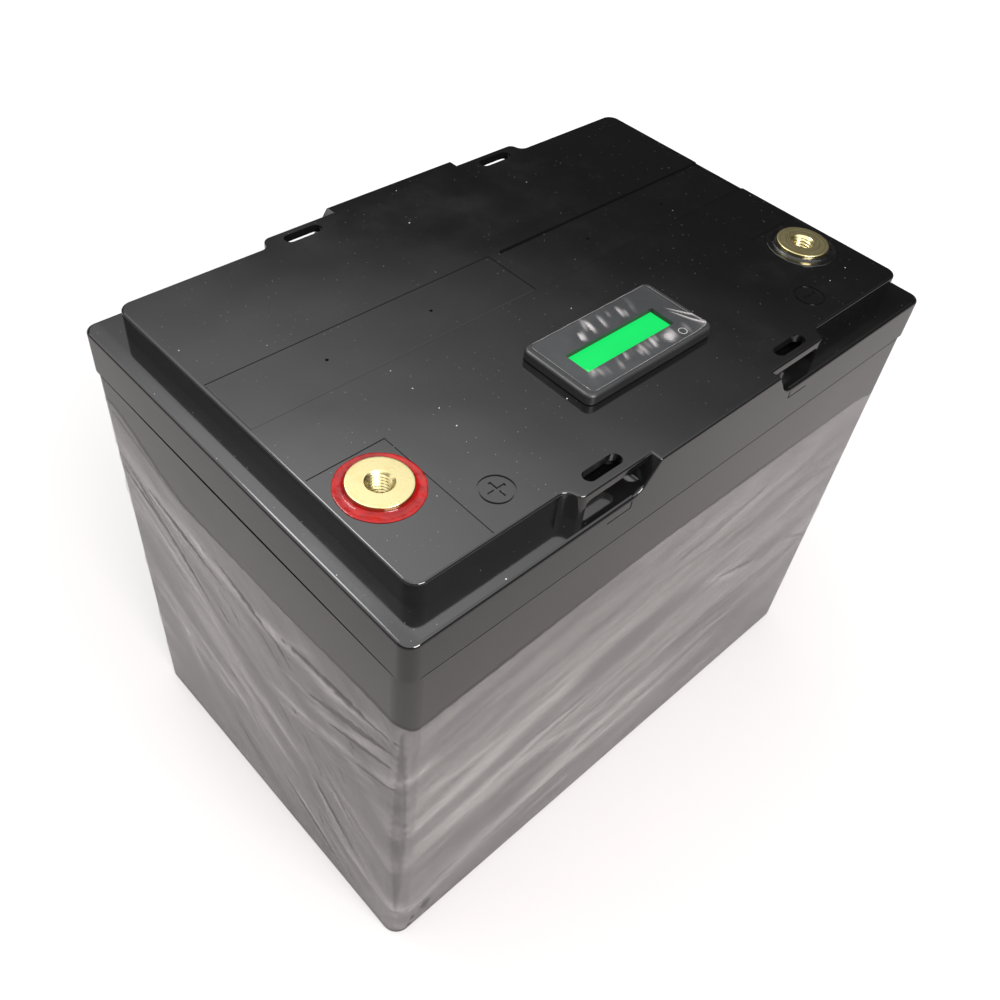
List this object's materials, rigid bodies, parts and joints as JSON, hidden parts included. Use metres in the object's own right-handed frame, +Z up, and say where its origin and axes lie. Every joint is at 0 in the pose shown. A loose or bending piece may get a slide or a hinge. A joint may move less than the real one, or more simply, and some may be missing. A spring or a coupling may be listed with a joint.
{
  "type": "deep cycle battery",
  "caption": "Sealed deep cycle battery in a glossy black moulded case with threaded brass terminals, rope handle slots and a lit charge display on its lid.",
  "frame": {"origin": "centre of the case's flat underside, on the surface it stands on", "axes": "+Z up; +X along the long side, from the positive terminal's end to the negative terminal's end; the terminals and display are nearer the front edge, at -Y"},
  "size_m": [0.26, 0.169, 0.216],
  "materials": {
    "case_plastic": "black moulded ABS, glossy",
    "lid_plastic": "black moulded ABS, glossy, dusty",
    "cover_plastic": "black moulded ABS, glossy",
    "wrap_film": "clear wrinkled protective film",
    "display_film": "clear wrinkled protective film",
    "brass": "turned brass, fine lathe marks",
    "red_resin": "red cast resin, wet gloss",
    "black_resin": "black cast resin, wet gloss",
    "rubber": "matt",
    "bezel_plastic": "black, fine satin texture",
    "overlay_print": "dark printed sheet",
    "lcd_glass": "lit green",
    "backlight": "translucent light guide",
    "key_plastic": "satin",
    "circuit_board": "green solder mask",
    "component_black": "moulded epoxy",
    "nylon_white": "moulded nylon",
    "steel": "zinc plated",
    "copper": "tinned copper bar",
    "tinned_copper": "tinned copper",
    "aluminium": "extruded",
    "cell_sleeve": "aluminium can in blue sleeve",
    "epoxy_board": "glass epoxy laminate",
    "separator": "white laminate",
    "cable_red": "silicone insulation",
    "cable_black": "silicone insulation",
    "wire_insulation": "thin insulation",
    "strap": "steel band"
  },
  "bodies": {
    "battery": {"base_board": "epoxy_board", "bms_board": "circuit_board", "bms_heatsink": "aluminium", "bms_heatsink_feet": "nylon_white", "bms_plug": "nylon_white", "bms_screws": "steel", "bms_shunts": "tinned_copper", "bms_standoffs": "brass", "bms_transistors": "component_black", "case": "case_plastic", "cell_1": "cell_sleeve", "cell_2": "cell_sleeve", "cell_3": "cell_sleeve", "cell_4": "cell_sleeve", "cell_5": "cell_sleeve", "cell_6": "cell_sleeve", "cell_7": "cell_sleeve", "cell_8": "cell_sleeve", "cell_nuts": "steel", "cell_separators": "separator", "deck_board": "epoxy_board", "deck_screws": "steel", "deck_spacers": "nylon_white", "display_backlight": "backlight", "display_bezel": "bezel_plastic", "display_board": "circuit_board", "display_board_screws": "steel", "display_film": "display_film", "display_gasket": "rubber", "display_key_switch": "component_black", "display_lcd": "lcd_glass", "display_overlay": "overlay_print", "display_plug": "nylon_white", "display_wires": "wire_insulation", "end_plate_left": "aluminium", "end_plate_right": "aluminium", "lid": "lid_plastic", "lid_seal": "rubber", "lug_bolts": "steel", "negative_busbar": "copper", "negative_lead": "cable_black", "negative_seal_ring": "black_resin", "negative_terminal": "brass", "pack_negative_lead": "cable_black", "pack_straps": "strap", "positive_busbar": "copper", "positive_lead": "cable_red", "positive_seal_ring": "red_resin", "positive_terminal": "brass", "ring_lugs": "tinned_copper", "sense_wires": "wire_insulation", "series_busbar_1": "copper", "series_busbar_2": "copper", "series_busbar_3": "copper", "side_boards": "epoxy_board", "terminal_o_rings": "rubber", "vent_cover_left": "cover_plastic", "vent_cover_right": "cover_plastic", "wrap_film": "wrap_film"},
    "key": {"display_key": "key_plastic"}
  },
  "joints": [
    {"name": "key_press", "type": "slide", "parent": "battery", "child": "key", "axis": [0, 0, -1], "range_m": [0, 0.0004], "stiffness_N_per_m": 3000, "springref_m": -0.0002}
  ]
}
